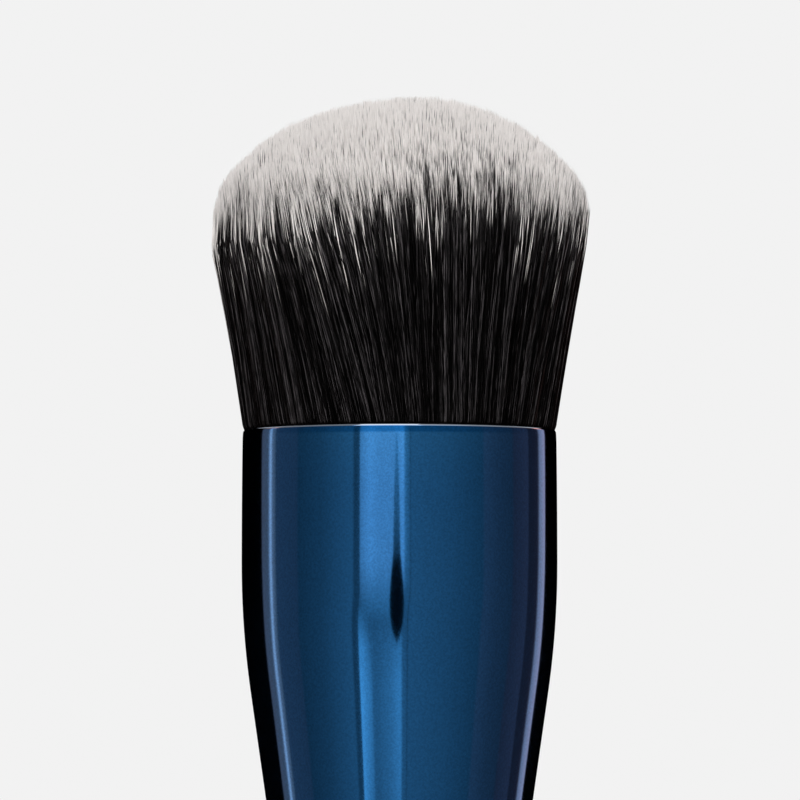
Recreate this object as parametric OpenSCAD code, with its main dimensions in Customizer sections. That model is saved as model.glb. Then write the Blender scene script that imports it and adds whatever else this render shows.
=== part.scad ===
// Buffing brush: a dense domed tuft of two-tone filaments in a polished metal ferrule,
// on a flared handle that stands on its flat end. Millimetres, +Z up, the origin is the
// middle of the handle's flat end.

/* [Tuft] */
// Length of the bristles above the mouth of the ferrule
bristle_h = 27.6; // [24:0.2:34]
// Diameter of the tuft at its widest place
tuft_d = 31.4; // [28:0.2:34]
// Height of the crown over the centre of its rounded shoulder
crown_rise = 9.6; // [7:0.2:12]
// Radius of the rounded shoulder between the flared side and the crown
tuft_shoulder_r = 4.5; // [2:0.25:6]
// Outward bow of the flared side at its middle
side_bow = 0.1; // [0:0.05:0.6]
// Length of the pale ends of the filaments at the side of the tuft
pale_side_l = 5.6; // [3:0.2:9]
// Depth of the pale ends below the middle of the crown
pale_crown_l = 7; // [4:0.5:12]
// Height over which the two tones run into each other in streaks
streak_h = 5; // [1:0.5:8]
// Number of locks that the filaments gather into around the tuft
lock_count = 96; // [48:16:112]
// Height of a lock's crest above the groove beside it
lock_depth = 0.4; // [0.1:0.05:0.7]
// Height of the tip ends above the hollows between them on the crown
tip_depth = 0.35; // [0.1:0.05:0.5]

/* [Root of the tuft] */
// Distance from the mouth down to the top of the glue plug
plug_top = 8; // [5:0.5:12]
// Height of the glue plug
plug_h = 9; // [7:0.5:12]
// Length of the root that is set in the glue plug
root_l = 6; // [4:0.5:6.5]
// Gap between the binding of the root and the ferrule, which the glue fills
root_gap = 0.2; // [0.1:0.05:1]
// Thickness of the binding thread
thread_d = 0.5; // [0.3:0.05:0.6]
// Number of turns of the binding thread
thread_turns = 5; // [3:1:7]

/* [Ferrule] */
// Outer diameter of the ferrule at its mouth
mouth_d = 25.9; // [22:0.1:30]
// Width that the barrel swells by on each side below the mouth
barrel_swell = 0.15; // [0.05:0.05:1]
// Distance from the mouth down to the fullest place of the barrel
barrel_l = 11; // [8:0.5:16]
// Radius of the long curve from the barrel into the cone
ferrule_shoulder_r = 75; // [40:5:110]
// Angle of the cone's side to the axis, in degrees
cone_angle = 8.3; // [6:0.1:11]
// Radius of the curve from the cone into the collar
neck_curve_r = 80; // [30:5:100]
// Outer diameter of the collar that takes the handle
neck_d = 15.6; // [13:0.2:17]
// Length of the straight collar
collar_l = 8; // [6:0.5:14]
// Thickness of the metal
wall = 0.45; // [0.3:0.05:0.6]
// Radius that the edge of the mouth is rolled in by
lip_r = 0.4; // [0.1:0.05:0.5]

/* [Handle] */
// Height of the handle below the ferrule
handle_h = 68; // [50:1:90]
// Diameter of the flared end
base_d = 24; // [20:0.5:28]
// Radius of the edge around the flat end
base_edge_r = 1.2; // [0.6:0.1:2]
// Length of the tenon inside the ferrule
tenon_l = 18; // [12:0.5:24]
// Thickness of the glue between tenon and collar
glue_t = 0.15; // [0.1:0.01:0.3]
// Bevel of the handle's top edge at the seam, and of the tenon's end
seam_bevel = 0.25; // [0.1:0.05:0.4]

/* [Hidden] */
$fn = 96;
arc_steps = 12;
// Gap between the bundle and the bore, and between the glue plug and what is set in it
fit_gap = 0.05;
embed_gap = 0.02;
// Distance that the handle's glue stays below the end of the collar's straight bore
glue_drop = 1;
// Height over the mouth at which the bundle spreads over the rolled edge
over_lip = 0.12;
// Height over the glue plug in which the bundle opens to the bore
splay_h = 1;

// Ferrule outline: each curve keeps its centre when the outline is set in by a wall
barrel_r = mouth_d / 2 + barrel_swell;
neck_r = neck_d / 2;
barrel_curve_r = (barrel_l * barrel_l + barrel_swell * barrel_swell) / (2 * barrel_swell);
shoulder_end_r = barrel_r - ferrule_shoulder_r * (1 - cos(cone_angle));
shoulder_end_drop = barrel_l + ferrule_shoulder_r * sin(cone_angle);
neck_start_r = neck_r + neck_curve_r * (1 - cos(cone_angle));
cone_drop = (shoulder_end_r - neck_start_r) / tan(cone_angle);
collar_drop = shoulder_end_drop + cone_drop + neck_curve_r * sin(cone_angle);
ferrule_l = collar_drop + collar_l;
mouth_z = handle_h + ferrule_l;
barrel_z = mouth_z - barrel_l;
mouth_angle = asin(barrel_l / barrel_curve_r);
rolled_r = min(lip_r, 0.9 * wall);

// Tuft outline, with heights measured from the mouth
tuft_r = tuft_d / 2;
bore_r = mouth_d / 2 - wall;
root_r = bore_r - root_gap - thread_d;
side_start_r = mouth_d / 2;
tuft_shoulder_c = [tuft_r - tuft_shoulder_r, bristle_h - crown_rise];
crown_r = (pow(tuft_r - tuft_shoulder_r, 2) + pow(crown_rise, 2) - pow(tuft_shoulder_r, 2))
    / (2 * (crown_rise - tuft_shoulder_r));
crown_z = bristle_h - crown_r;
thread_pitch = 0.96 * thread_d;
thread_c = root_r + embed_gap + thread_d / 2;
binding_h = (thread_turns - 1) * thread_pitch + thread_d;
binding_z = mouth_z - plug_top - (root_l + binding_h) / 2;
from_side = tuft_shoulder_c - [side_start_r, 0];
side_angle = asin(tuft_shoulder_r / norm(from_side)) + atan2(from_side[0], from_side[1]);
side_l = sqrt(from_side * from_side - tuft_shoulder_r * tuft_shoulder_r);
crown_start_angle = atan2(tuft_shoulder_c[1] - crown_z, tuft_shoulder_c[0]);
shoulder_l = tuft_shoulder_r * (crown_start_angle + side_angle) * PI / 180;
crown_start_r = crown_r * cos(crown_start_angle);

// Grid of the tuft: the number of points in a ring halves as the crown's rings close in
columns = 32 * round(lock_count / 16);
side_rings = 5;
pale_rings = 4;
rings_a_halving = 5;
halvings = 5;
crown_rings = rings_a_halving * halvings;
inner_rings = 5;
inner_share = 0.58;

// Shares of the regular and the random relief of the tuft
groove_share = 0.55;
tip_share = 0.35;
lean_share = 0.3;
waves = 2.5;
wave_share = 0.3;
chance_share = 0.35;
tooth_share = 0.2;
chance = rands(-1, 1, columns, 7);
drift = rands(-1, 1, columns, 3);
cut = rands(0, 1, columns, 11);

// Points of an arc about c, from one angle to another
function arc(c, r, from, to, steps = arc_steps) =
    [for (k = [0:steps]) let (a = from + (to - from) * k / steps) c + r * [cos(a), sin(a)]];

// Outline of the ferrule from its mouth down to the end of its collar, set in by some depth
function ferrule_side(inset) = concat(
    arc([barrel_r - barrel_curve_r, barrel_z], barrel_curve_r - inset, mouth_angle, 0),
    arc([barrel_r - ferrule_shoulder_r, barrel_z], ferrule_shoulder_r - inset, 0, -cone_angle),
    arc([neck_r + neck_curve_r, mouth_z - collar_drop], neck_curve_r + inset, 180 - cone_angle, 180),
    [[neck_r - inset, handle_h]]
);

// Outline of the tuft at a distance along its side and shoulder, and the way it faces there
function side_point(s) =
    s < side_l
    ? let (t = s / side_l, bow = 4 * side_bow * t * (1 - t))
        [side_start_r + s * sin(side_angle) + bow * cos(side_angle), s * cos(side_angle) - bow * sin(side_angle)]
    : tuft_shoulder_c + tuft_shoulder_r * facing(s);
function facing(s) =
    let (a = -side_angle + max(0, s - side_l) / tuft_shoulder_r * 180 / PI) [cos(a), sin(a)];

// Where the pale ends of one column begin, as a distance along the side: a slow wave around the
// tuft, a random share, and teeth that take turns
function pale_start(i) =
    let (a = 360 * i / columns)
    side_l - pale_side_l
    + streak_h * (wave_share * sin(waves * a + 40) * sin(a)
        + chance_share * chance[i] + tooth_share * (1 - 2 * (i % 2)));

// Even columns are crests near the outline, odd ones are grooves under it, and both fade at the mouth
function lock_offset(i, s) =
    -lock_depth * min(1, 3 * s / side_l)
    * (groove_share * (i % 2) + (1 - groove_share) * abs(chance[i]));

// A point of column i, off the outline by the depth of its lock, with each lock leaning a little
function column_point(i, s) =
    let (p = side_point(s) + lock_offset(i, s) * facing(s),
        lean = lean_share * drift[i] * min(1, s / side_l),
        a = (i + lean) * 360 / columns)
    [p[0] * cos(a), p[0] * sin(a), mouth_z + p[1]];

// A ring of the crown, where tip ends and hollows take turns
function crown_ring(j) =
    let (count = columns / pow(2, floor(j / rings_a_halving)),
        r = crown_start_r * pow(0.5, j / rings_a_halving))
    [for (i = [0:count - 1])
        let (hollow = tip_share * (i % 2) + (1 - tip_share) * cut[(i * 11 + j * 29) % columns],
            rho = crown_r - tip_depth * hollow,
            q = r * rho / crown_r,
            a = i * 360 / count)
        [q * cos(a), q * sin(a), mouth_z + crown_z + sqrt(rho * rho - q * q)]];

// A ring of the surface between the two tones, from the tuft's middle out to its side
function inner_ring(k) =
    let (count = columns / pow(2, k), share = pow(inner_share, k), step = pow(2, k),
        top = bristle_h - pale_crown_l)
    [for (i = [0:count - 1])
        let (edge = column_point(i * step, pale_start(i * step)), rise = mouth_z + top - edge[2])
        [edge[0] * share, edge[1] * share, edge[2] + rise * (1 - share * share)]];

function round_ring(r, z) =
    [for (i = [0:columns - 1]) let (a = i * 360 / columns) [r * cos(a), r * sin(a), z]];
function dark_ring(j) =
    [for (i = [0:columns - 1]) column_point(i, pale_start(i) * j / side_rings)];
function pale_ring(j) =
    [for (i = [0:columns - 1])
        let (s = pale_start(i)) column_point(i, s + (side_l + shoulder_l - s) * j / pale_rings)];

// Faces between two rings of na and nb points, where one may have twice the points of the other.
// The diagonals follow turn, so that they join tip to tip and crest to crest
function band(a, na, b, nb, turn) =
    na == nb
    ? [for (i = [0:na - 1]) let (n = (i + 1) % na)
        each (i + turn) % 2 == 0
        ? [[a + i, b + n, a + n], [a + i, b + i, b + n]]
        : [[a + i, b + i, a + n], [a + n, b + i, b + n]]]
    : na > nb
    ? [for (i = [0:nb - 1]) let (f = 2 * i, g = (f + 2) % na, n = (i + 1) % nb)
        each [[a + f, b + i, a + f + 1], [a + f + 1, b + i, b + n], [a + f + 1, b + n, a + g]]]
    : [for (i = [0:na - 1]) let (f = 2 * i, g = (f + 2) % nb, n = (i + 1) % na)
        each [[a + i, b + f, b + f + 1], [a + i, b + f + 1, a + n], [a + n, b + f + 1, b + g]]];

function starts(rings, k = 0, at = 0) =
    k == len(rings) ? [] : concat([at], starts(rings, k + 1, at + len(rings[k])));
function middle(ring) = [0, 0, [for (p = ring) 1] * [for (p = ring) p[2]] / len(ring)];

// A closed skin over rings that run upwards on the outside, with its first and last ring filled
module skin(rings) {
    first = starts(rings);
    last = len(rings) - 1;
    total = first[last] + len(rings[last]);
    n0 = len(rings[0]);
    n1 = len(rings[last]);
    polyhedron(
        points = concat([for (ring = rings) each ring], [middle(rings[0]), middle(rings[last])]),
        faces = concat(
            [for (i = [0:n0 - 1]) [total, i, (i + 1) % n0]],
            [for (k = [0:last - 1])
                each band(first[k], len(rings[k]), first[k + 1], len(rings[k + 1]), last - k)],
            [for (i = [0:n1 - 1]) [total + 1, first[last] + (i + 1) % n1, first[last] + i]]
        ),
        convexity = 6
    );
}

// Dark stretch of the filaments, from the glued root to where the pale ends begin
module dark_lengths() {
    color("#141214")
    skin(concat(
        [round_ring(root_r, mouth_z - plug_top - root_l), round_ring(root_r, mouth_z - plug_top),
            round_ring(bore_r - fit_gap, mouth_z - plug_top + splay_h),
            round_ring(bore_r - fit_gap, mouth_z + fit_gap),
            round_ring(side_start_r, mouth_z + over_lip)],
        [for (j = [1:side_rings - 1]) dark_ring(j)],
        [for (k = [0:inner_rings - 1]) inner_ring(k)]
    ));
}

// Pale ends of the same filaments, up to the crown
module pale_ends() {
    color("#d8d3ce")
    skin(concat(
        [for (k = [inner_rings - 1:-1:0]) inner_ring(k)],
        [for (j = [1:pale_rings - 1]) pale_ring(j)],
        [for (j = [0:crown_rings]) crown_ring(j)]
    ));
}

// One bundle of two-tone filaments
module bristles() {
    dark_lengths();
    pale_ends();
}

// Waxed thread wound round the root to hold the filaments while they are glued
module binding_thread() {
    color("#e6dcc4")
    rotate_extrude()
    for (k = [0:thread_turns - 1])
        translate([thread_c, binding_z + thread_d / 2 + k * thread_pitch])
            circle(d = thread_d, $fn = 32);
}

// Cured glue that fills the barrel around and below the root
module root_plug() {
    bottom = mouth_z - plug_top - plug_h;
    color("#c79a4a")
    rotate_extrude() difference() {
        intersection() {
            polygon(concat([[0, mouth_z]], ferrule_side(wall), [[0, handle_h]]));
            translate([0, bottom]) square([barrel_r, plug_h]);
        }
        translate([0, mouth_z - plug_top - root_l]) square([root_r + embed_gap, root_l + plug_h]);
        translate([0, binding_z - embed_gap])
            square([thread_c + thread_d / 2 + embed_gap, binding_h + 2 * embed_gap]);
    }
}

// Drawn metal shell: barrel, long shoulder, cone and collar, with a rounded mouth
module ferrule() {
    outer = ferrule_side(0);
    inner = ferrule_side(wall);
    lip_c = [outer[0][0] - rolled_r, mouth_z - rolled_r];
    color("#1d5f9e")
    rotate_extrude() polygon(concat(
        arc(lip_c, rolled_r, 90, 0, arc_steps / 2),
        [for (k = [1:len(outer) - 1]) outer[k]],
        [for (k = [len(inner) - 1:-1:1]) inner[k]],
        [[bore_r, mouth_z]]
    ));
}

// Cured glue between the handle's tenon and the collar
module handle_glue() {
    color("#d9c48a")
    translate([0, 0, handle_h]) difference() {
        cylinder(r = neck_r - wall, h = collar_l - glue_drop);
        translate([0, 0, -glue_drop]) cylinder(r = neck_r - wall - glue_t, h = collar_l + glue_drop);
    }
}

// Turned handle: tenon, slim neck flush with the collar, and a flare to the flat end
module handle() {
    tenon_r = neck_r - wall - glue_t;
    edge_c = [base_d / 2 - base_edge_r, base_edge_r];
    step_in = neck_r - edge_c[0];
    rise = handle_h - base_edge_r;
    flare_r = (step_in * step_in + rise * rise - base_edge_r * base_edge_r) / (2 * (base_edge_r - step_in));
    meet = atan2(rise, flare_r + step_in);
    top = handle_h + tenon_l;
    color("#1d5f9e")
    rotate_extrude() polygon(concat(
        [[0, 0]],
        arc(edge_c, base_edge_r, -90, meet),
        arc([neck_r + flare_r, handle_h], flare_r, 180 + meet, 180 + asin(seam_bevel / flare_r), 2 * arc_steps),
        [[neck_r - seam_bevel, handle_h], [tenon_r, handle_h], [tenon_r, top - seam_bevel],
            [tenon_r - seam_bevel, top], [0, top]]
    ));
}

handle();
ferrule();
handle_glue();
root_plug();
binding_thread();
bristles();
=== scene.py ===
"""Looks of the buffing brush: every filament of the tuft, polished blue metal and blue lacquer.

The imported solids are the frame, and everything here is in metres in that frame: +Z up, the origin in
the middle of the handle's flat end. The camera looks along +Y.
"""
import math

import bpy
import numpy as np
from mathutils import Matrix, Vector


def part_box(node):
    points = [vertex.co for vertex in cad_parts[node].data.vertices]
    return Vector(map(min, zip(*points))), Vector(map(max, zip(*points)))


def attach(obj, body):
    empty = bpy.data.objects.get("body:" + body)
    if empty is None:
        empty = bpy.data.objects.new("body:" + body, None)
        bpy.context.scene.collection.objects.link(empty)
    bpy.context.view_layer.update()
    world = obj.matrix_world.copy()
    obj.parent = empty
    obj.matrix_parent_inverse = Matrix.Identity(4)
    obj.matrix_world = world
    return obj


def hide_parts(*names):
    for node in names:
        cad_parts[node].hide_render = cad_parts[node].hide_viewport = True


MM = 0.001
BAKE_MAP = "OFBake"

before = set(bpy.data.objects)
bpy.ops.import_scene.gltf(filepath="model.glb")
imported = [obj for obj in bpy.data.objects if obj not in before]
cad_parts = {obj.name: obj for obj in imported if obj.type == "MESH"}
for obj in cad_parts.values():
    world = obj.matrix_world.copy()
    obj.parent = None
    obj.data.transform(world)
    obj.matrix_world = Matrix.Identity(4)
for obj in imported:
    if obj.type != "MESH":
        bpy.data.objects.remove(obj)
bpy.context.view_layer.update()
rng = np.random.default_rng(56)

# Places taken from the frame
HANDLE_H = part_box("ferrule")[0].z
MOUTH_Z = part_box("ferrule")[1].z
TUFT_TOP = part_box("bristles")[1].z
TENON_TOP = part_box("handle")[1].z

# Ferrule, as its solid is drawn, with a slightly straighter barrel and a rolled edge
MOUTH_R = 12.95 * MM
BARREL_SWELL = 0.08 * MM
BARREL_L = 11 * MM
BARREL_CURVE_R = (BARREL_L**2 + BARREL_SWELL**2) / (2 * BARREL_SWELL)
SHOULDER_R = 75 * MM
CONE_ANGLE = math.radians(8.3)
NECK_CURVE_R = 80 * MM
NECK_R = 7.8 * MM
WALL = 0.45 * MM
LIP_R = 0.28 * MM
CURL = 0.024 * MM
CURL_H = 0.6 * MM

# Handle, as its solid is drawn
BASE_R = 12 * MM
BASE_EDGE_R = 1.2 * MM
SEAM_BEVEL = 0.25 * MM
TENON_R = NECK_R - WALL - 0.15 * MM

# Tuft, as its solid is drawn
TUFT_R = 15.7 * MM
BRISTLE_H = 27.6 * MM
CROWN_RISE = 9.6 * MM
TUFT_SHOULDER_R = 4.5 * MM
BUNDLE_R = MOUTH_R - WALL - 0.05 * MM


# Meshes

def new_piece(name, vertices, faces, sharp_angle=None):
    """A smooth-shaded mesh object of this name, with its place in its mesh."""
    mesh = bpy.data.meshes.new(name)
    mesh.from_pydata(vertices.tolist(), [], faces.tolist())
    mesh.shade_smooth()
    if sharp_angle is not None:
        mesh.set_sharp_from_angle(angle=sharp_angle)
    mesh.update()
    piece = bpy.data.objects.new(name, mesh)
    bpy.context.scene.collection.objects.link(piece)
    return piece


def arc(centre, radius, start, end, steps):
    """Points at equal angles on a circle: centre plus radius times (cos a, sin a), a from start to end."""
    a = np.linspace(start, end, steps + 1)
    return np.column_stack([centre[0] + radius * np.cos(a), centre[1] + radius * np.sin(a)])


def line(start, end, steps):
    """Points at equal distances from start to end, without the last one."""
    share = np.linspace(0, 1, steps, endpoint=False)[:, None]
    return np.asarray(start) * (1 - share) + np.asarray(end) * share


def turned(profile, around_count):
    """A profile of (radius, height) turned about Z: point (r cos t, r sin t, z) at profile point (r, z)
    and turn t. A profile whose ends lie on the axis closes in a point there; another one closes on
    itself. Returns vertices and triangles."""
    t = np.linspace(0, 2 * math.pi, around_count, endpoint=False)
    on_axis = profile[0, 0] < 1e-9
    ends = profile[[0, -1]]
    rows = profile[1:-1] if on_axis else profile
    r, z = rows[:, :1], rows[:, 1:]
    shape = (len(rows), around_count)
    grid = np.stack([r * np.cos(t), r * np.sin(t), np.broadcast_to(z, shape)], axis=-1)
    index = np.arange(len(rows) * around_count).reshape(shape)
    below = index[:-1] if on_axis else index
    above = index[1:] if on_axis else np.roll(index, -1, axis=0)
    right_below, right_above = np.roll(below, -1, axis=1), np.roll(above, -1, axis=1)
    faces = [np.stack([below, right_below, right_above], axis=-1).reshape(-1, 3),
             np.stack([below, right_above, above], axis=-1).reshape(-1, 3)]
    vertices = grid.reshape(-1, 3)
    if on_axis:
        first, last = len(vertices), len(vertices) + 1
        vertices = np.vstack([vertices, [[0, 0, ends[0, 1]], [0, 0, ends[1, 1]]]])
        faces += [np.column_stack([np.full(around_count, first), np.roll(index[0], -1), index[0]]),
                  np.column_stack([np.full(around_count, last), index[-1], np.roll(index[-1], -1)])]
    return vertices, np.vstack(faces)


# Outlines

def ferrule_outline(inset, steps):
    """The metal's outline from the mouth down, set in by a depth: a shallow barrel arc, the long
    shoulder arc, the straight cone and the neck arc that runs into the collar."""
    barrel_r = MOUTH_R + BARREL_SWELL
    barrel_z = MOUTH_Z - BARREL_L
    mouth_angle = math.asin(BARREL_L / BARREL_CURVE_R)
    collar_top = HANDLE_H + 8 * MM
    barrel = arc((barrel_r - BARREL_CURVE_R, barrel_z), BARREL_CURVE_R - inset, mouth_angle, 0, 3 * steps)
    shoulder = arc((barrel_r - SHOULDER_R, barrel_z), SHOULDER_R - inset, 0, -CONE_ANGLE, steps)
    neck = arc((NECK_R + NECK_CURVE_R, collar_top), NECK_CURVE_R + inset,
               math.pi - CONE_ANGLE, math.pi, steps)
    cone = line(shoulder[-1], neck[0], steps)
    collar = line(neck[-1], (NECK_R - inset, HANDLE_H), steps // 4)
    return np.vstack([barrel[:-1], shoulder[:-1], cone, neck[:-1], collar, [[NECK_R - inset, HANDLE_H]]])


def ferrule_profile():
    """The metal's closed section: the rolled edge of the mouth, a slight curl below it that falls in by
    CURL (1 - d / CURL_H)^2 at a distance d under the roll, the outline down to the collar's end, and the
    same outline set in by the wall, back up."""
    outer = ferrule_outline(0, 10)
    inner = ferrule_outline(WALL, 4)
    lean = math.atan(2 * CURL / CURL_H) + BARREL_L / BARREL_CURVE_R
    curl_end = MOUTH_Z - LIP_R * (1 - math.sin(lean))
    below = np.linspace(0, 1, 9)
    curl_z = curl_end - below * CURL_H
    curl_r = np.interp(curl_z, outer[::-1, 1], outer[::-1, 0]) - CURL * (1 - below)**2
    roll = arc((curl_r[0] - LIP_R * math.cos(lean), MOUTH_Z - LIP_R), LIP_R, math.pi / 2, lean, 12)
    outer = outer[outer[:, 1] < curl_z[-1] - 0.1 * MM]
    return np.vstack([roll, np.column_stack([curl_r, curl_z])[1:], outer, inner[::-1]])[::-1]


def handle_profile():
    """The handle's section from the axis at its flat end: the rounded edge, the flare as one arc that
    runs level with the collar, the bevelled seam and the tenon."""
    edge_c = np.array([BASE_R - BASE_EDGE_R, BASE_EDGE_R])
    step_in = NECK_R - edge_c[0]
    rise = HANDLE_H - BASE_EDGE_R
    flare_r = (step_in**2 + rise**2 - BASE_EDGE_R**2) / (2 * (BASE_EDGE_R - step_in))
    meet = math.atan2(rise, flare_r + step_in)
    return np.vstack([
        [[0, 0]],
        line((0.5 * MM, 0), (edge_c[0], 0), 12),
        arc(edge_c, BASE_EDGE_R, -math.pi / 2, meet, 16)[:-1],
        arc((NECK_R + flare_r, HANDLE_H), flare_r, math.pi + meet, math.pi + SEAM_BEVEL / flare_r, 70),
        [[NECK_R - SEAM_BEVEL, HANDLE_H], [TENON_R, HANDLE_H], [TENON_R, TENON_TOP - SEAM_BEVEL],
         [TENON_R - SEAM_BEVEL, TENON_TOP], [0, TENON_TOP]],
    ])


class TuftOutline:
    """The tuft's outline, with heights measured from the mouth. The side runs straight from the mouth to
    where it touches the shoulder's circle; the crown's circle takes over where the two circles touch."""

    def __init__(self):
        self.shoulder_c = np.array([TUFT_R - TUFT_SHOULDER_R, BRISTLE_H - CROWN_RISE])
        self.crown_r = ((self.shoulder_c[0]**2 + CROWN_RISE**2 - TUFT_SHOULDER_R**2)
                        / (2 * (CROWN_RISE - TUFT_SHOULDER_R)))
        self.crown_z = BRISTLE_H - self.crown_r
        away = self.shoulder_c - [MOUTH_R, 0]
        self.side_angle = (math.asin(TUFT_SHOULDER_R / np.hypot(*away)) + math.atan2(away[0], away[1]))
        self.side_h = self.shoulder_c[1] - TUFT_SHOULDER_R * math.sin(self.side_angle)
        self.crown_from = math.atan2(self.shoulder_c[1] - self.crown_z, self.shoulder_c[0])
        self.shoulder_l = TUFT_SHOULDER_R * (self.crown_from + self.side_angle)
        self.top_l = self.shoulder_l + self.crown_r * (math.pi / 2 - self.crown_from)

    def skin_radius(self, z):
        """Radius of the bundle's outermost filaments at a height. They leave the bore, run straight along
        the side, bend in a little along a parabola above BEND_Z and end straight."""
        bend = np.clip(z - BEND_Z, 0, BEND_L)
        inward = BEND_CURVE * (bend**2 + 2 * BEND_L * np.maximum(z - BEND_Z - BEND_L, 0))
        side = MOUTH_R + z * math.tan(self.side_angle) - inward
        return np.where(z < 0, BUNDLE_R, np.minimum(side, BUNDLE_R + 1.6 * np.maximum(z, 0)))

    def swell(self, z, angle):
        """How far the side swells near its top: with s the share of the side's height, by
        SIDE_SWELL s^10 (1 - s)^2 (1.9 - 1.5 cos angle), so mostly on the left."""
        share = np.clip(z / self.side_h, 0, 1)
        return SIDE_SWELL * share**10 * (1 - share)**2 * (1.9 - 1.5 * np.cos(angle))

    def top(self, length):
        """(radius, height) at a distance along the shoulder and the crown, from the end of the side:
        first round the shoulder's circle, then round the crown's."""
        a = length / TUFT_SHOULDER_R - self.side_angle
        b = self.crown_from + (length - self.shoulder_l) / self.crown_r
        on_crown = length > self.shoulder_l
        r = np.where(on_crown, self.crown_r * np.cos(b), self.shoulder_c[0] + TUFT_SHOULDER_R * np.cos(a))
        z = np.where(on_crown, self.crown_z + self.crown_r * np.sin(b),
                     self.shoulder_c[1] + TUFT_SHOULDER_R * np.sin(a))
        return r, z


# How much the side swells near its top, and where and how its filaments bend inwards
SIDE_SWELL = 31 * MM
BEND_Z = 15 * MM
BEND_L = 5 * MM
BEND_CURVE = 0.010 / MM
outline = TuftOutline()


# Tuft

FILAMENTS = 60000
FILAMENT_R = 0.049 * MM

# Filaments are sorted by the share of the skin's radius that they keep: above SKIN_SHARE they lie in the
# skin, above INNER_SHARE just inside it. The crown's others show only their ends
SKIN_SHARE = 0.965
INNER_SHARE = 0.93
ROOT_DEPTH = 1.2 * MM
INNER_L = 13 * MM
CROWN_L = 8 * MM
SIDE_CLOSING = 3.0 * MM
CROWN_CLOSING = 1.4 * MM

# Locks are as wide as they are deep, and their filaments' tips are drawn together by LOCK_PULL
LOCK_W = 0.9 * MM
LOCK_PULL = 0.3

# The crown leans by APEX_LEAN within APEX_R and is fuller than its circle by FULLER. The whole tuft sways
# to the right by SWAY
APEX_LEAN = 0.05
APEX_R = 11 * MM
FULLER = 0.21 * MM
SWAY = 0.2 * MM

# How much higher the filaments deep inside turn pale than those of the skin, and how fast this rises
# inwards
INSIDE_RISE = 6.5 * MM
INSIDE_RATE = 2.4

# The dense inside keeps CORE_SHARE of the outline's radius, lies lower than the tips by CORE_DROP, and
# starts CORE_DEPTH inside the mouth
CORE_SHARE = 0.94
CORE_DROP = 1.4 * MM
CORE_DEPTH = 1.0 * MM

# The map of the filaments' tones: columns of shades across, and a span of heights that starts below the
# place where a filament turns pale. Painted glints, painted highlights on the dark lengths, are as long as
# the last length
SHADES = 64
HEIGHT_SPAN = 40 * MM
HEIGHT_BELOW = 26 * MM
PAINTED_GLINTS_L = 1.6 * MM

# What differs from side to side, at equal angles from +X by way of +Y: the height over the mouth at which
# the skin's filaments turn pale, how much lower some of them do, and the angle by which their tips lean
# round the tuft
PALE_FROM = np.array([18.1, 17.8, 17.2, 17.6, 18.2, 17.4, 17.0, 17.6, 18.0, 17.2, 16.6, 14.4,
                      12.2, 17.0, 17.4, 16.9, 16.9, 17.8, 18.0, 18.6, 19.0, 18.5, 17.0, 18.4]) * MM
LOWER_BY = np.array([4.0, 5.0, 5.0, 6.0, 5.0, 6.0, 13.0, 5.6, 7.2, 4.8, 3.8, 8.0]) * MM
FAN = np.array([0.08, 0.06, 0.04, 0.0, -0.03, 0.0, 0.04, 0.0, -0.03, 0.0, 0.02, 0.03,
                0.04, 0.01, -0.05, -0.19, -0.32, -0.25, -0.13, -0.09, -0.045, 0.03, 0.11, 0.10])


def around(angle, values):
    """Values at equal angles round the tuft, from +X by way of +Y, with straight lines between them."""
    knots = np.linspace(0, 2 * math.pi, len(values), endpoint=False)
    return np.interp(angle % (2 * math.pi), knots, values, period=2 * math.pi)


def plant(count):
    """Where each filament's tip lies and how it is drawn. Tips are spread evenly over the area of the
    shoulder and crown, whose apex leans a little to the right. The share of the skin's radius that a
    filament keeps all the way down is its tip's radius over the skin's radius at that height."""
    lengths = np.linspace(1.0 * MM, outline.top_l, 400)
    reached = np.cumsum(outline.top(lengths)[0])
    length = np.interp(rng.random(count), reached / reached[-1], lengths)
    tip_r, tip_z = outline.top(length)
    angle = rng.random(count) * 2 * math.pi
    f = {"angle": angle, "length": length, "tip_r": tip_r}
    share = np.minimum(tip_r / outline.skin_radius(tip_z), 1) * 0.996
    f["share"] = share - np.where(share > SKIN_SHARE, rng.exponential(0.010, count), 0)
    lock, lock_angle, lock_r = gather(f)
    f["pale_z"] = tone_start(f, lock)
    shorter = np.minimum(rng.exponential(1.0, count) * np.where(share > SKIN_SHARE, 0.8, 0.19), 3.5) * MM
    q = (tip_r / TUFT_R)**2
    raised = (APEX_LEAN * tip_r * np.cos(angle) * np.maximum(1 - (tip_r / APEX_R)**2, 0)**2
              + FULLER * 4 * q * (1 - q) * (1 + 0.35 * np.cos(angle)))
    f["tip_z"] = tip_z + raised - shorter + rng.normal(0, 0.10, count)[lock] * MM
    f["fan"] = around(angle, FAN) * f["share"]**2 + around(angle, rng.normal(0, 0.012, 90))
    f["lean"] = rng.normal(0, 0.035, count)
    f["bend"] = rng.normal(0, 0.008, count)
    f["pull"] = LOCK_PULL * lock_angle
    f["lift"] = LOCK_PULL * lock_r
    f["thick"] = rng.uniform(0.8, 1.25, count)
    f["shade"] = rng.random(count)
    f["twist"] = rng.random(count) * 2 * math.pi
    return f


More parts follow.
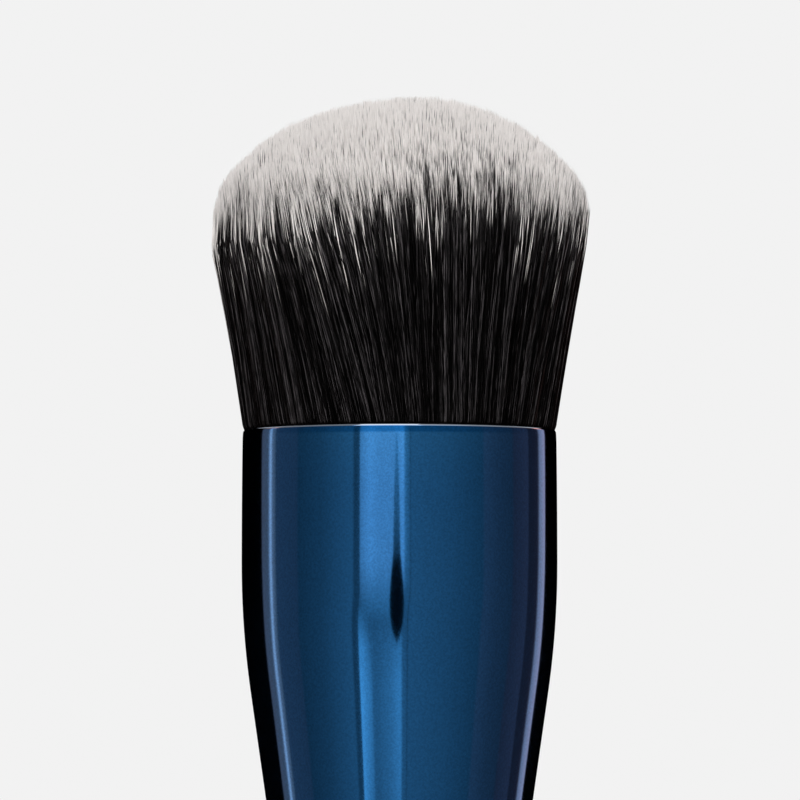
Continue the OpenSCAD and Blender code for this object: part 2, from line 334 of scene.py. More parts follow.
def gather(f):
    """The lock that each filament's tip belongs to, and how far that lock's middle lies from the tip, as
    an angle and as a radius. Locks fill wavy rings of equal width along the outline; a ring is cut into
    cells as long as it is wide."""
    count = len(f["angle"])
    along = f["length"] / LOCK_W
    wave = 0.5 * np.sin(7 * f["angle"] + 0.9 * along) + 0.4 * np.sin(19 * f["angle"] - 0.7 * along)
    ring = np.floor(along + wave + rng.normal(0, 0.1, count)).clip(0)
    middle_r = outline.top(np.maximum(ring + 0.5 - wave, 0) * LOCK_W)[0]
    ring_r = outline.top((ring + 0.5) * LOCK_W)[0]
    cells = np.maximum(np.round(2 * math.pi * ring_r / LOCK_W), 1)
    place = f["angle"] / (2 * math.pi) * cells + 0.37 * ring + rng.normal(0, 0.1, count)
    cell = np.floor(place)
    lock = (ring * 331 + cell % cells).astype(int) % count
    return lock, (cell + 0.5 - place) / cells * 2 * math.pi, middle_r - f["tip_r"]


def tone_start(f, lock):
    """Height over the mouth at which each filament turns pale: that of its side of the tuft, and higher
    inside. Chance moves it for a whole lock, for the skin's filaments side by side and for each one, and
    takes some much higher or lower."""
    count = len(lock)
    inside = INSIDE_RISE * (1 - np.exp(-INSIDE_RATE * (1 - f["share"])))
    of_lock = rng.normal(0, 0.5, count)[lock] * MM
    beside = around(f["angle"], rng.normal(0, 1.5, 700) * MM) * f["share"]**8
    single = rng.normal(0, 0.6, count) * MM
    chance = rng.random(count)
    higher = np.where(chance < 0.17, np.minimum(rng.exponential(2.0, count), 6) * MM, 0)
    lower = np.where(chance > 0.73, around(f["angle"], LOWER_BY) * rng.random(count)**2, 0)
    return around(f["angle"], PALE_FROM) + inside + of_lock + beside + single + higher - lower


def filaments(f, heights, radii):
    """Three-sided filaments that follow the bundle's skin at their own share of its radius. heights is
    (filaments, rings + 1), the last one being the pointed tip. At height z, with h its share of the tip's
    height, a filament's middle lies at radius share times (skin radius + swell) plus lift h^3 and at its own
    angle less fan (1 - h), plus lean (h - 1), bend sin(pi h) and pull h^3. The whole tuft sways a little
    to the right with the square of z, up to the end of its side. Returns vertices, triangles and each
    vertex's (u, v): u is the filament's own shade, v its height over the place where it turns pale."""
    count, levels = heights.shape
    rings = levels - 1
    own = {key: value[:, None] for key, value in f.items()}
    up = np.clip(heights / own["tip_z"], 0, 1)
    angle = (own["angle"] - own["fan"] * (1 - up) + own["lean"] * (up - 1)
             + own["bend"] * np.sin(math.pi * up) + own["pull"] * up**3)
    wide = outline.skin_radius(heights) + outline.swell(heights, angle)
    radius = own["share"] * wide + own["lift"] * up**3
    corner = np.arange(3) * 2 * math.pi / 3 + f["twist"][:, None, None]
    out = radius[..., None] + radii[..., None] * np.cos(corner)
    along = radii[..., None] * np.sin(corner)
    cos, sin = np.cos(angle)[..., None], np.sin(angle)[..., None]
    x = out * cos - along * sin
    y = out * sin + along * cos
    x = x + SWAY * np.clip(heights / outline.side_h, 0, 1)[..., None]**2
    z = np.broadcast_to(heights[..., None] + MOUTH_Z, x.shape)
    points = np.stack([x, y, z], axis=-1)
    body = points[:, :rings].reshape(count, rings * 3, 3)
    vertices = np.concatenate([body, points[:, rings, :1]], axis=1)

    ring = np.arange(rings - 1)[:, None] * 3
    side = np.arange(3)
    a, b = ring + side, ring + (side + 1) % 3
    last = (rings - 1) * 3
    faces = np.concatenate([
        np.stack([a, b, b + 3], axis=-1).reshape(-1, 3),
        np.stack([a, b + 3, a + 3], axis=-1).reshape(-1, 3),
        np.column_stack([last + side, last + (side + 1) % 3, np.full(3, rings * 3)]),
        [[0, 2, 1]],
    ])
    a_filament = rings * 3 + 1
    faces = faces[None] + np.arange(count)[:, None, None] * a_filament

    v = (heights - own["pale_z"] + HEIGHT_BELOW) / HEIGHT_SPAN
    v = np.concatenate([np.repeat(v[:, :rings], 3, axis=1), v[:, rings:]], axis=1)
    spread = np.append(np.tile([-0.3, 0.0, 0.3], rings), 0.1)
    u = (np.floor(f["shade"] * SHADES)[:, None] + 0.5 + spread) / SHADES
    uv = np.stack([u, np.clip(v, 0.001, 0.999)], axis=-1)
    return vertices.reshape(-1, 3), faces.reshape(-1, 3), uv.reshape(-1, 2)


def filament_piece(name, f, heights, radii):
    """One piece of many filaments, with the map that its colour follows."""
    vertices, faces, uv = filaments(f, heights, radii)
    piece = new_piece(name, vertices, faces)
    layer = piece.data.uv_layers.new(name=BAKE_MAP)
    layer.data.foreach_set("uv", uv[faces.reshape(-1)].astype(np.float32).ravel())
    return piece


def taper(f, heights, length):
    """Radius of a filament at each height: growing from the mouth up, full near the top, and closing
    from this length under its tip."""
    tip = f["tip_z"][:, None]
    closing = 0.4 + 0.6 * np.clip((tip - heights) / length, 0, 1)
    growing = 0.6 + 0.4 * np.clip(heights / tip / 0.85, 0, 1)**2
    return f["thick"][:, None] * FILAMENT_R * closing * growing


def tuft_pieces():
    """The tuft's filaments, in pieces small enough to handle: those of the skin run from inside the
    mouth to their tips, those just inside it show their upper half, and the others only their ends."""
    f = plant(FILAMENTS)
    skin = f["share"] > SKIN_SHARE
    inner = (f["share"] > INNER_SHARE) & ~skin
    kinds = (("skin_filaments", skin, 2, SIDE_CLOSING), ("inner_filaments", inner, 1, SIDE_CLOSING),
             ("crown_filaments", ~skin & ~inner, 3, CROWN_CLOSING))
    pieces = []
    for name, chosen, parts, closing in kinds:
        for part, members in enumerate(np.array_split(np.flatnonzero(chosen), parts), start=1):
            own = {key: value[members] for key, value in f.items()}
            tip = own["tip_z"][:, None]
            if name == "skin_filaments":
                below = np.hstack([np.full_like(tip, -ROOT_DEPTH), np.full_like(tip, 0.35 * MM),
                                   tip * 0.35, tip * 0.68])
            elif name == "inner_filaments":
                below = np.hstack([tip - INNER_L, tip - INNER_L / 2])
            else:
                below = tip - CROWN_L
            heights = np.hstack([below, tip - closing, tip])
            pieces.append(filament_piece(f"{name}_{part}", own, heights, taper(own, heights, closing)))
    return pieces


def tuft_core():
    """The dense inside of the bundle that shows between the filaments: the outline at a smaller share of
    its radius and a little lower, closed at both ends."""
    z = np.linspace(-CORE_DEPTH, outline.side_h, 24)
    side = np.column_stack([CORE_SHARE * outline.skin_radius(z), z])
    length = np.linspace(0, outline.top_l, 40)[1:]
    r, top_z = outline.top(length)
    ease = np.clip(length / outline.shoulder_l, 0, 1)
    top = np.column_stack([r * CORE_SHARE, top_z - CORE_DROP * ease])
    profile = np.vstack([[[0, -CORE_DEPTH]], side, top[:-1], [[0, top[-1, 1]]]])
    profile[:, 1] += MOUTH_Z
    vertices, faces = turned(profile, 160)
    return new_piece("tuft_core", vertices, faces)


# Shader maths

class Value:
    """A shader socket that takes part in sums like a number."""

    def __init__(self, tree, socket):
        self.tree = tree
        self.socket = socket

    def _math(self, operation, *terms, clamp=False):
        return node(self.tree, "ShaderNodeMath", {"operation": operation, "use_clamp": clamp}, *terms)

    def __add__(self, other):
        return self._math("ADD", self, other)

    def __sub__(self, other):
        return self._math("SUBTRACT", self, other)

    def __rsub__(self, other):
        return self._math("SUBTRACT", other, self)

    def __mul__(self, other):
        return self._math("MULTIPLY", self, other)

    def __truediv__(self, other):
        return self._math("DIVIDE", self, other)

    __radd__ = __add__
    __rmul__ = __mul__

    def power(self, other):
        return self._math("POWER", self, other)

    def clamped(self):
        return self._math("ADD", self, 0.0, clamp=True)

    def step(self, low, high):
        """0 below low, 1 above high, smooth between."""
        return node(self.tree, "ShaderNodeMapRange", {"interpolation_type": "SMOOTHSTEP"},
                    self, low, high, 0.0, 1.0)


def node(tree, kind, settings, *values, output=0, **named):
    """One node of this kind: its settings, then its sockets in order or by name, each a number, a colour
    or a Value. A ramp's stops are given as (place, colour)."""
    made = tree.nodes.new(kind)
    for key, setting in settings.items():
        if key == "stops":
            ramp = made.color_ramp
            while len(ramp.elements) < len(setting):
                ramp.elements.new(0.5)
            for element, (place, colour) in zip(ramp.elements, setting):
                element.position = place
                element.color = (*colour, 1.0)
        else:
            setattr(made, key, setting)
    sockets = list(enumerate(values)) + [(key.replace("_", " "), value) for key, value in named.items()]
    for key, value in sockets:
        if isinstance(value, Value):
            tree.links.new(value.socket, made.inputs[key])
        elif value is not None:
            made.inputs[key].default_value = value
    return Value(tree, made.outputs[output])


def mix(tree, factor, low, high):
    """A colour between two colours."""
    made = tree.nodes.new("ShaderNodeMix")
    made.data_type = "RGBA"
    for socket, value in ((made.inputs[0], factor), (made.inputs[6], low), (made.inputs[7], high)):
        if isinstance(value, Value):
            tree.links.new(value.socket, socket)
        else:
            socket.default_value = (*value, 1.0) if isinstance(value, tuple) else value
    return Value(tree, made.outputs[2])


def tinted(tree, colour, tint):
    """A colour times a tint."""
    return node(tree, "ShaderNodeVectorMath", {"operation": "MULTIPLY"}, colour, tint)


def parts_of(tree, vector):
    """The x, y and z of a vector, as three Values."""
    made = node(tree, "ShaderNodeSeparateXYZ", {}, vector)
    return [Value(tree, output) for output in made.socket.node.outputs]


def noise(tree, place, size, detail=2.0):
    """Noise of a grain size, from 0 to 1, at a place in object coordinates."""
    return node(tree, "ShaderNodeTexNoise", {"noise_dimensions": "3D"}, Vector=place, Scale=1 / size,
                Detail=detail)


def squeezed(tree, place, x, y, z):
    """The place with each of its coordinates divided by a stretch."""
    return tinted(tree, place, (1 / x, 1 / y, 1 / z))


def bump(tree, height, depth):
    """A normal for a height from 0 to 1 that stands for a depth in metres."""
    return node(tree, "ShaderNodeBump", {}, Strength=1.0, Distance=depth, Height=height)


def material(name, build):
    """A material whose tree is made by build(tree, place), which returns the shader's named inputs."""
    made = bpy.data.materials.new(name)
    made.use_nodes = True
    tree = made.node_tree
    shader = tree.nodes["Principled BSDF"]
    place = node(tree, "ShaderNodeTexCoord", {}, output="Object")
    for socket, value in build(tree, place).items():
        if isinstance(value, Value):
            tree.links.new(value.socket, shader.inputs[socket])
        elif isinstance(value, tuple):
            shader.inputs[socket].default_value = (*value, 1.0)
        else:
            shader.inputs[socket].default_value = value
    return made


# Finishes

DARK = (0.0006, 0.0005, 0.0005)
# The next tone is painted highlights: light glints put into the dark filaments' colour
DARK_PAINTED_SHEEN = (0.069, 0.063, 0.066)
PALE = (0.82, 0.785, 0.765)
# The next tone is a duller pale: the duller end of each filament's random pale tone, and painted shade on
# the core
PALE_DULL_AND_PAINTED_SHADE = (0.65, 0.615, 0.595)
# The next tone is painted shade for pale lengths low on the tuft
LOW_PALE_PAINTED_SHADE = (0.34, 0.32, 0.30)
METAL_BLUE = (0.055, 0.34, 0.86)
METAL_BARE = (0.62, 0.70, 0.84)
LACQUER_BLUE = (0.012, 0.10, 0.34)


def filament_finish(tree, place):
    """Near-black filaments that turn pale over a short way, each of its own shade. Pale lengths low on the
    tuft are painted darker, as painted shade. The dark lengths carry painted highlights in lengths of their
    own and are greyer just under where they turn pale, and just above the mouth both are painted out as
    painted shade."""
    own_map = node(tree, "ShaderNodeTexCoord", {}, output="UV")
    u, v, _ = parts_of(tree, own_map)
    height = v * (HEIGHT_SPAN / MM) - HEIGHT_BELOW / MM
    pale = height.step(-1.1, 0.7)
    own = node(tree, "ShaderNodeMath", {"operation": "FRACT"}, u * 17.0)
    # Painted highlights: some filaments get light glints painted into their dark colour, coming and going
    # along their length
    lengths = noise(tree, tinted(tree, own_map, (100.0, HEIGHT_SPAN / PAINTED_GLINTS_L, 1.0)), 1.0).step(0.38, 0.62)
    painted_highlight = own.power(6.0) * (0.25 + 1.5 * lengths) + 0.3 * height.step(-6.0, -0.5) * own
    above = (parts_of(tree, place)[2] - MOUTH_Z) / MM
    # Just above the mouth the painted highlights are painted out: painted shade
    dark_tone = mix(tree, (painted_highlight * above.step(0.0, 0.25)).clamped(), DARK, DARK_PAINTED_SHEEN)
    # Pale lengths below about 9 to 17.5 mm over the mouth are painted darker: painted shade
    pale_tone = mix(tree, above.step(9.0, 17.5), LOW_PALE_PAINTED_SHADE, mix(tree, u, PALE_DULL_AND_PAINTED_SHADE, PALE))
    return {"Base Color": mix(tree, pale, dark_tone, pale_tone), "Roughness": 0.45,
            "Specular IOR Level": 0.05}


def core_finish(tree, place):
    """What shows between the filaments: a pale under the crown that is darkened as painted shade, and darker
    still as painted shade in small dips of its bump, black down the side, with streaks where the two meet."""
    z = parts_of(tree, place)[2]
    streaks = noise(tree, squeezed(tree, place, 1.0, 1.0, 30.0), 0.25 * MM)
    height = (z - MOUTH_Z) / MM + (streaks - 0.5) * 6.0
    pale = height.step(19.5, 22.5)
    dips_and_painted_shade = noise(tree, squeezed(tree, place, 1.0, 1.0, 6.0), 0.12 * MM)
    # Painted shade: the pale is a duller tone, and darker still where the bump dips
    return {"Base Color": mix(tree, pale, DARK, mix(tree, dips_and_painted_shade, (0.20, 0.18, 0.17), PALE_DULL_AND_PAINTED_SHADE)),
            "Roughness": 0.8, "Specular IOR Level": 0.1, "Normal": bump(tree, dips_and_painted_shade, 0.1 * MM)}


def metal_finish(tree, place):
    """Polished metal under a clear blue colour, with a fine grain and the faint rings of turning. The
    rolled edge of the mouth is bare."""
    z = parts_of(tree, place)[2]
    grain = noise(tree, place, 0.17 * MM).step(0.25, 0.75)
    rings = noise(tree, squeezed(tree, place, 40.0, 40.0, 1.0), 0.5 * MM)
    cloud = noise(tree, place, 3.0 * MM)
    dull, bright = (tuple(light * part for part in METAL_BLUE) for light in (0.78, 1.1))
    colour = mix(tree, 0.4 * cloud, mix(tree, grain, dull, bright), METAL_BLUE)
    edge = ((z - MOUTH_Z) / MM).step(-0.23, -0.18)
    return {"Base Color": mix(tree, edge, colour, METAL_BARE), "Metallic": 1.0,
            "Roughness": 0.06 + 0.02 * grain, "Normal": bump(tree, rings, 0.0004 * MM)}


def lacquer_finish(tree, place):
    """Clear lacquer over a blue ground with fine bright flakes."""
    flakes = noise(tree, place, 0.08 * MM, 1.0)
    cloud = noise(tree, place, 5.0 * MM)
    ground = mix(tree, cloud, LACQUER_BLUE, (0.016, 0.125, 0.40))
    return {"Base Color": mix(tree, flakes.step(0.62, 0.74), ground, (0.10, 0.34, 0.72)),
            "Metallic": 0.65, "Roughness": 0.26, "Coat Weight": 1.0, "Coat Roughness": 0.03,
            "Normal": bump(tree, cloud, 0.01 * MM)}


def epoxy_finish(tree, place):
    """Amber cured glue with a cloudy tone and small bubbles."""
    cloud = noise(tree, place, 2.0 * MM)
    bubbles = noise(tree, place, 0.35 * MM, 1.0)
    return {"Base Color": mix(tree, cloud, (0.50, 0.28, 0.07), (0.66, 0.42, 0.13)),
            "Roughness": 0.18 + 0.15 * bubbles, "Normal": bump(tree, bubbles.step(0.68, 0.74), 0.05 * MM)}


def wood_glue_finish(tree, place):
    """Yellowish dried glue with a wavy surface."""
    waves = noise(tree, place, 0.8 * MM)
    return {"Base Color": mix(tree, waves, (0.56, 0.45, 0.22), (0.70, 0.60, 0.36)),
            "Roughness": 0.35 + 0.1 * waves, "Normal": bump(tree, waves, 0.04 * MM)}


def thread_finish(tree, place):
    """Waxed thread: fine plies that run round the binding at a slant."""
    x, y, z = parts_of(tree, place)
    turn = node(tree, "ShaderNodeMath", {"operation": "ARCTAN2"}, y, x)
    plies = node(tree, "ShaderNodeMath", {"operation": "SINE"}, turn * 220.0 + z / (0.03 * MM))
    fuzz = noise(tree, place, 0.06 * MM)
    return {"Base Color": mix(tree, plies * 0.5 + 0.5, (0.50, 0.44, 0.31), (0.78, 0.71, 0.56)),
            "Roughness": 0.55 + 0.2 * fuzz, "Normal": bump(tree, plies * 0.5 + 0.5, 0.02 * MM)}


# Stage

RING_R = 0.30
RING_H = 0.55
FLOOR_R = 3.0
FLOOR_T = 2 * MM
FLOOR_FADE = (0.12, 0.45)
BACKDROP_H = 4.0
BACKDROP_TONE = 0.887
CAMERA_DISTANCE = 0.70
FRAME_W = 66.1 * MM
PIXELS = 800
AXIS_PX = 399.5
MIDDLE_Z = MOUTH_Z + 2.49 * MM
LOOK_UP = math.radians(2.90)

# Tints of the light panels
WHITE = (1.0, 1.0, 1.0)
WARM = (1.3, 1.0, 1.0)
GREY = (1.9, 1.1, 1.1)
PLUM = (2.8, 1.0, 1.0)
VIOLET = (3.6, 1.4, 1.1)

# What the polished metal shows, left to right, in degrees from the camera's side: where each panel of
# the light ring starts, its light there and at its other end, and its tint. The last one ends at
# PANELS_END, and the rest of the ring is dark.
PANELS = [
    (-118.0, 0.12, 0.12, VIOLET), (-108.2, 0.60, 0.60, VIOLET), (-104.6, 0.25, 0.15, VIOLET),
    (-101.0, 0.090, 0.075, GREY), (-78.0, 0.072, 0.105, WHITE), (-58.0, 0.105, 0.195, WHITE),
    (-33.4, 0.090, 0.105, WHITE), (-28.3, 0.10, 0.10, WHITE), (8.0, 0.205, 0.145, WHITE),
    (40.0, 0.142, 0.095, WHITE), (62.0, 0.095, 0.066, GREY), (76.0, 0.066, 0.052, GREY),
    (90.0, 0.050, 0.068, PLUM), (106.8, 0.028, 0.030, PLUM), (119.6, 0.26, 0.46, VIOLET),
]
PANELS_END = 130.5

# The bright strip in the middle, in the same form, for heights on the ring from the highest down. The
# light runs evenly from one height to the next.
STRIP = (-28.3, 8.0)
STRIP_ROWS = [
    (0.131, [(-28.3, 0.46, 0.66, WARM), (-21.0, 0.66, 0.56, WARM), (-14.0, 0.56, 0.56, WARM),
             (-4.0, 0.57, 0.70, WARM), (3.3, 0.34, 0.27, WHITE), (5.9, 0.25, 0.21, WHITE)]),
    (0.098, [(-28.3, 0.20, 0.31, WHITE), (-18.5, 0.31, 0.34, WHITE), (-6.0, 0.34, 0.15, WHITE),
             (3.7, 0.19, 0.19, WHITE)]),
    (0.087, [(-28.3, 0.37, 0.18, WHITE), (-19.5, 0.18, 0.24, WHITE), (-6.5, 0.22, 0.38, WHITE),
             (4.2, 0.20, 0.19, WHITE)]),
    (0.070, [(-28.3, 0.64, 0.56, WHITE), (-25.0, 0.56, 0.27, WHITE), (-19.5, 0.27, 0.22, WHITE),
             (-16.0, 0.22, 0.29, WHITE), (-6.0, 0.29, 0.44, WHITE), (4.2, 0.21, 0.19, WHITE)]),
    (0.041, [(-28.3, 0.84, 0.62, WHITE), (-25.0, 0.62, 0.41, WHITE), (-19.3, 0.25, 0.25, WHITE),
             (-14.0, 0.26, 0.36, WHITE), (-5.0, 0.36, 0.58, WHITE), (4.2, 0.23, 0.20, WHITE)]),
]

# How the panels' edges lean, as shares of a turn: those of the middle move by LOW_SHIFT to the left below
# LOW_Z, and those at the sides outwards by HIGH_SHIFT above EDGE_Z
LOW_SHIFT = 0.0053
LOW_Z = (0.085, 0.112)
HIGH_SHIFT = 0.0133
EDGE_Z = (0.120, 0.150)

# What the barrel's top, the curl and the rolled edge of the mouth show: the ring's middle is brighter above
# TOP_Z, then dimmer and bluer above DIM_Z, and from HIGH_Z on the ring has its own panels
DIM_Z = (0.156, 0.172)
DIM_TINT = (0.20, 0.55, 0.70)
TOP_Z = (0.145, 0.158)
TOP_TINT = (1.25, 1.22, 1.15)
HIGH_Z = (0.268, 0.276)
HIGH_PANELS = [(-150.0, 0.45, 0.45, WHITE), (-118.0, 0.20, 0.22, WHITE), (-36.0, 1.15, 1.15, WHITE),
               (17.0, 0.65, 0.40, WHITE), (60.0, 0.34, 0.22, WHITE), (118.0, 0.45, 0.45, WHITE)]
HIGH_END = 150.0
CEILING_LIGHT = 0.25
CEILING_STRIP = np.array([[-0.216, -0.30], [0.097, -0.30], [0.046, 0.0], [-0.108, 0.0]])

# Near the floor the panels run over into this tone, which a card on the floor carries on inwards
GROUND_Z = (0.0, 0.036)
GROUND_SHARE = 0.6
GROUND_TONE = (0.13, 0.13, 0.13)

# The drop that the camera leaves in the metal: heights on the ring, half its width there in degrees, the
# heights between which its tail fades, its light at the bottom and what each of the two fades adds
CARD_R = RING_R - 8 * MM
CARD_ANGLE = math.radians(-1.9)
CARD_Z = np.array([0.072, 0.0755, 0.081, 0.087, 0.0925, 0.102, 0.113, 0.127, 0.134, 0.146, 0.158])
CARD_HALF = np.radians([0.0, 2.0, 3.5, 4.35, 4.85, 5.1, 4.6, 3.4, 2.5, 1.7, 0.0])
CARD_FADE = (0.129, 0.140, 0.156)
CARD_LIGHT = (0.004, 0.20, 0.25)

# Soft lights: name, place, side and power
TUFT_MIDDLE = 14 * MM
LIGHTS = [
    ("overhead", (0, -0.05, 0.95), 0.55, 5.5),
    ("front_left", (-0.75, -1.0, 0.55), 0.8, 13.7),
    ("front_right", (0.85, -0.9, 0.45), 0.8, 13.5),
    ("behind", (0.0, 1.2, 0.7), 0.9, 8.0),
]


def ramp_stops(panels, end):
    """Stops of a colour ramp for a row of panels, whose place is (angle + 180) / 360, dark outside."""
    starts = [panel[0] for panel in panels] + [end]
    stops = [(starts[0] - 0.1, 0.0, WHITE)]
    for (start, low, high, tint), until in zip(panels, starts[1:]):
        stops += [(start, low, tint), (until - 0.1, high, tint)]
    stops.append((end, 0.0, WHITE))
    return [((angle + 180) / 360, tuple(light * part for part in tint)) for angle, light, tint in stops]


def emission(name, build):
    """A material that only gives light. build(tree, place) returns its colour and strength."""
    made = bpy.data.materials.new(name)
    made.use_nodes = True
    tree = made.node_tree
    tree.nodes.remove(tree.nodes["Principled BSDF"])
    place = node(tree, "ShaderNodeTexCoord", {}, output="Object")
    colour, strength = build(tree, place)
    glow = node(tree, "ShaderNodeEmission", {}, colour, strength)
    tree.links.new(glow.socket, tree.nodes["Material Output"].inputs["Surface"])
    return made


def stage_piece(name, vertices, faces, finish, seen_by=("camera", "diffuse", "glossy", "shadow")):
    """A stage object, shown only to the kinds of ray that are named."""
    piece = new_piece(name, vertices, faces)
    piece.data.materials.append(finish)
    piece.visible_camera = "camera" in seen_by
    piece.visible_diffuse = "diffuse" in seen_by
    piece.visible_glossy = "glossy" in seen_by
    piece.visible_shadow = "shadow" in seen_by


def open_tube(radius, low, high, around_count):
    """An upright tube without ends: (r sin t, -r cos t, z), with t = 0 on the camera's side."""
    t = np.linspace(-math.pi, math.pi, around_count, endpoint=False)
    rim = np.column_stack([radius * np.sin(t), -radius * np.cos(t)])
    vertices = np.vstack([np.column_stack([rim, np.full(around_count, z)]) for z in (low, high)])
    i = np.arange(around_count)
    j = (i + 1) % around_count
    return vertices, np.column_stack([j, i, i + around_count, j + around_count])


def make_light_ring():
    """A tube of light panels around the brush, with a card on the floor and two over the top, which only
    the polished pieces show."""
    def glow(tree, place):
        x, y, z = parts_of(tree, place)
        turn = node(tree, "ShaderNodeMath", {"operation": "ARCTAN2"}, x, 0.0 - y)
        part = turn / (2 * math.pi)
        aside = (9.0 * (part * part)).clamped()
        outwards = HIGH_SHIFT * (z.step(*EDGE_Z) * aside)
        leftwards = LOW_SHIFT * ((1 - z.step(*LOW_Z)) * (1 - aside))
        share = part * (1 - outwards) + leftwards + 0.5

        def row(panels, end):
            return node(tree, "ShaderNodeValToRGB", {"stops": ramp_stops(panels, end)}, share)

        above, panels = STRIP_ROWS[0]
        strip = row(panels, STRIP[1])
        for height, panels in STRIP_ROWS[1:]:
            lower = ((above - z) / (above - height)).clamped()
            strip = mix(tree, lower, strip, row(panels, STRIP[1]))
            above = height
        start, end = ((angle + 180) / 360 for angle in STRIP)
        inside = share.step(start - 0.0001, start) * (1 - share.step(end - 0.0001, end))
        front = mix(tree, inside, row(PANELS, PANELS_END), strip)
        lit = mix(tree, z.step(*TOP_Z) * (1 - aside), front, tinted(tree, front, TOP_TINT))
        dimmed = mix(tree, z.step(*DIM_Z) * (1 - aside), lit, tinted(tree, lit, DIM_TINT))
        upper = mix(tree, z.step(*HIGH_Z), dimmed, row(HIGH_PANELS, HIGH_END))
        return mix(tree, GROUND_SHARE * (1 - z.step(*GROUND_Z)), upper, GROUND_TONE), 1.0

    finish = emission("ring_light", glow)
    vertices, faces = open_tube(RING_R, 0.001, RING_H, 180)
    stage_piece("light_ring", vertices, faces, finish, ("glossy",))
    turn = np.linspace(0, 2 * math.pi, 64, endpoint=False)
    disc = RING_R * np.column_stack([np.cos(turn), np.sin(turn)])
    level_card("floor_card", disc, 0.001, finish)
    for name, corners, z, light in (("ceiling", disc, RING_H, CEILING_LIGHT),
                                    ("ceiling_strip", CEILING_STRIP, RING_H - 0.002, 1.0)):
        level_card(name, corners, z, emission(name + "_light", even_light(light)))


def even_light(light):
    """The same white light everywhere."""
    return lambda tree, place: ((light, light, light, 1.0), 1.0)


def level_card(name, corners, z, finish):
    """A level card with these corners, which only the polished pieces show."""
    vertices = np.column_stack([corners, np.full(len(corners), z)])
    stage_piece(name, vertices, np.arange(len(corners))[None, ::-1], finish, ("glossy",))


def make_camera_card():
    """The dark drop that the camera leaves in the metal, with a fainter tail."""
    angle = CARD_ANGLE + np.concatenate([-CARD_HALF, CARD_HALF[-2:0:-1]])
    z = np.concatenate([CARD_Z, CARD_Z[-2:0:-1]])
    rim = np.column_stack([CARD_R * np.sin(angle), -CARD_R * np.cos(angle), z])
    middle = np.array([[CARD_R * math.sin(CARD_ANGLE), -CARD_R * math.cos(CARD_ANGLE), CARD_Z[5]]])
    i = np.arange(len(rim))
    faces = np.column_stack([np.full(len(rim), len(rim)), i, (i + 1) % len(rim)])

    def glow(tree, place):
        z = parts_of(tree, place)[2]
        low, middle, high = CARD_FADE
        darkest, tail, end = CARD_LIGHT
        return (1.0, 1.0, 1.0, 1.0), darkest + tail * z.step(low, middle) + end * z.step(middle, high)

    finish = emission("card_black", glow)
    stage_piece("camera_card", np.vstack([rim, middle]), faces, finish, ("glossy",))


def make_floor_and_backdrop():
    """A pale floor that runs out into the backdrop's own tone, and the wall behind it."""
    below = np.array([[r, -FLOOR_T] for r in (0, 0.3, 0.9, FLOOR_R)])
    vertices, faces = turned(np.vstack([below, below[::-1] * [1, 0]]), 96)
    floor_finish = bpy.data.materials.new("floor_pale")
    floor_finish.use_nodes = True
    tree = floor_finish.node_tree
    shader = tree.nodes["Principled BSDF"]
    shader.inputs["Base Color"].default_value = (0.78, 0.78, 0.78, 1.0)
    shader.inputs["Roughness"].default_value = 0.6
    place = node(tree, "ShaderNodeTexCoord", {}, output="Object")
    far = node(tree, "ShaderNodeVectorMath", {"operation": "LENGTH"}, place, output="Value")
    even = node(tree, "ShaderNodeEmission", {}, *even_light(BACKDROP_TONE)(tree, place))
    both = node(tree, "ShaderNodeMixShader", {}, far.step(*FLOOR_FADE))
    mixer = both.socket.node
    tree.links.new(shader.outputs[0], mixer.inputs[1])
    tree.links.new(even.socket, mixer.inputs[2])
    tree.links.new(both.socket, tree.nodes["Material Output"].inputs["Surface"])
    stage_piece("floor", vertices, faces, floor_finish)
    vertices, faces = open_tube(FLOOR_R, 0.0, BACKDROP_H, 96)
    finish = emission("backdrop_pale", even_light(BACKDROP_TONE))
    stage_piece("backdrop", vertices, faces, finish, ("camera",))


def area_light(name, place, target, size, power):
    """A square soft light at a place, turned towards a target, which polished pieces don't show."""
    lamp = bpy.data.lights.new(name, "AREA")
    lamp.size = size
    lamp.energy = power
    holder = bpy.data.objects.new(name, lamp)
    bpy.context.scene.collection.objects.link(holder)
    holder.location = place
    holder.rotation_euler = (Vector(target) - Vector(place)).to_track_quat("-Z", "Y").to_euler()
    holder.visible_glossy = False
    holder.visible_camera = False


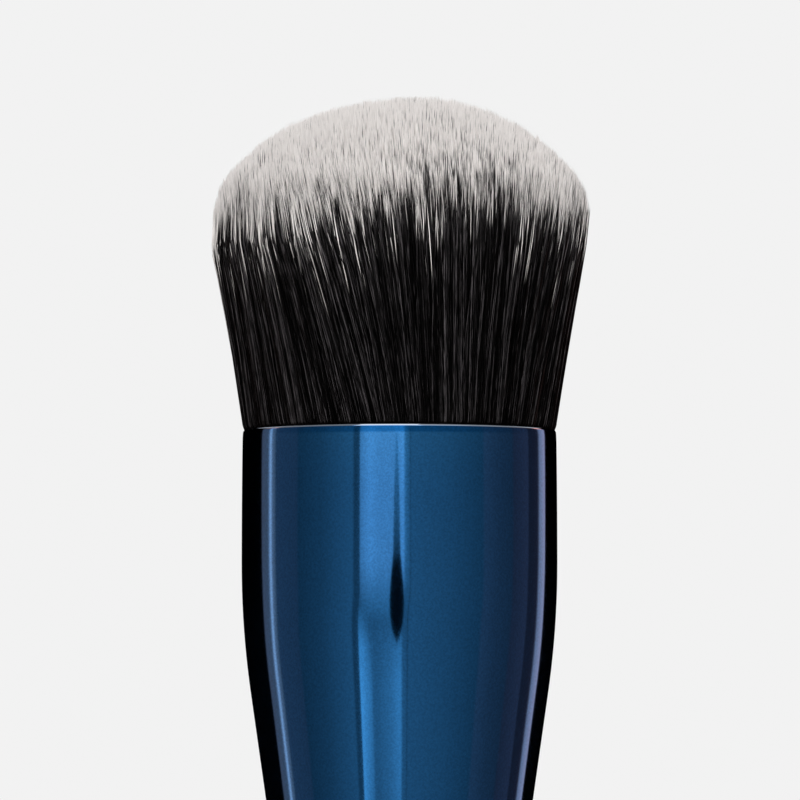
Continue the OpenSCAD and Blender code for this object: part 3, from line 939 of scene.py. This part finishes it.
def make_lights():
    """Soft lights that all point at the tuft, and a dim surround."""
    for name, place, size, power in LIGHTS:
        area_light(name, place, (0, 0, MOUTH_Z + TUFT_MIDDLE), size, power)
    world = bpy.data.worlds.new("surround")
    bpy.context.scene.world = world
    world.use_nodes = True
    world.node_tree.nodes["Background"].inputs[0].default_value = (0.05, 0.05, 0.05, 1.0)


def make_camera():
    """The photograph's view: level with the tuft, from slightly below the mouth, through a long lens."""
    lens = bpy.data.cameras.new("camera")
    lens.angle = 2 * math.atan(FRAME_W / 2 / CAMERA_DISTANCE)
    lens.clip_start = 0.01
    lens.clip_end = 20
    camera = bpy.data.objects.new("camera", lens)
    bpy.context.scene.collection.objects.link(camera)
    aside = (PIXELS / 2 - AXIS_PX) * FRAME_W / PIXELS
    target = Vector((aside, 0, MIDDLE_Z))
    camera.location = target + CAMERA_DISTANCE * Vector((0, -math.cos(LOOK_UP), -math.sin(LOOK_UP)))
    camera.rotation_euler = (target - camera.location).to_track_quat("-Z", "Y").to_euler()
    bpy.context.scene.camera = camera


# The brush

def finish_piece(piece, finish, slot, *nodes_replaced):
    """Puts a material on a new piece, which stands for the named nodes and rides with the brush."""
    piece.data.materials.append(finish)
    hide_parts(*nodes_replaced)
    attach(piece, "root")


def finish_node(name, finish):
    """Puts a material on a solid that is kept as it is."""
    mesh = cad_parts[name].data
    mesh.materials.clear()
    mesh.materials.append(finish)


make_camera()
make_floor_and_backdrop()
make_light_ring()
make_camera_card()
make_lights()

filament_material = material("filament", filament_finish)
for piece in tuft_pieces():
    finish_piece(piece, filament_material, "filament", "bristles")
finish_piece(tuft_core(), material("filament_core", core_finish), "filament", "bristles")

vertices, faces = turned(ferrule_profile(), 240)
finish_piece(new_piece("ferrule_shell", vertices, faces, math.radians(35)),
             material("blue_metal", metal_finish), "blue_metal", "ferrule")
vertices, faces = turned(handle_profile(), 200)
finish_piece(new_piece("handle_turned", vertices, faces, math.radians(35)),
             material("blue_lacquer", lacquer_finish), "lacquered_wood", "handle")

finish_node("root_plug", material("epoxy", epoxy_finish))
finish_node("handle_glue", material("wood_glue", wood_glue_finish))
finish_node("binding_thread", material("waxed_thread", thread_finish))

bpy.context.scene.view_settings.view_transform = "Standard"
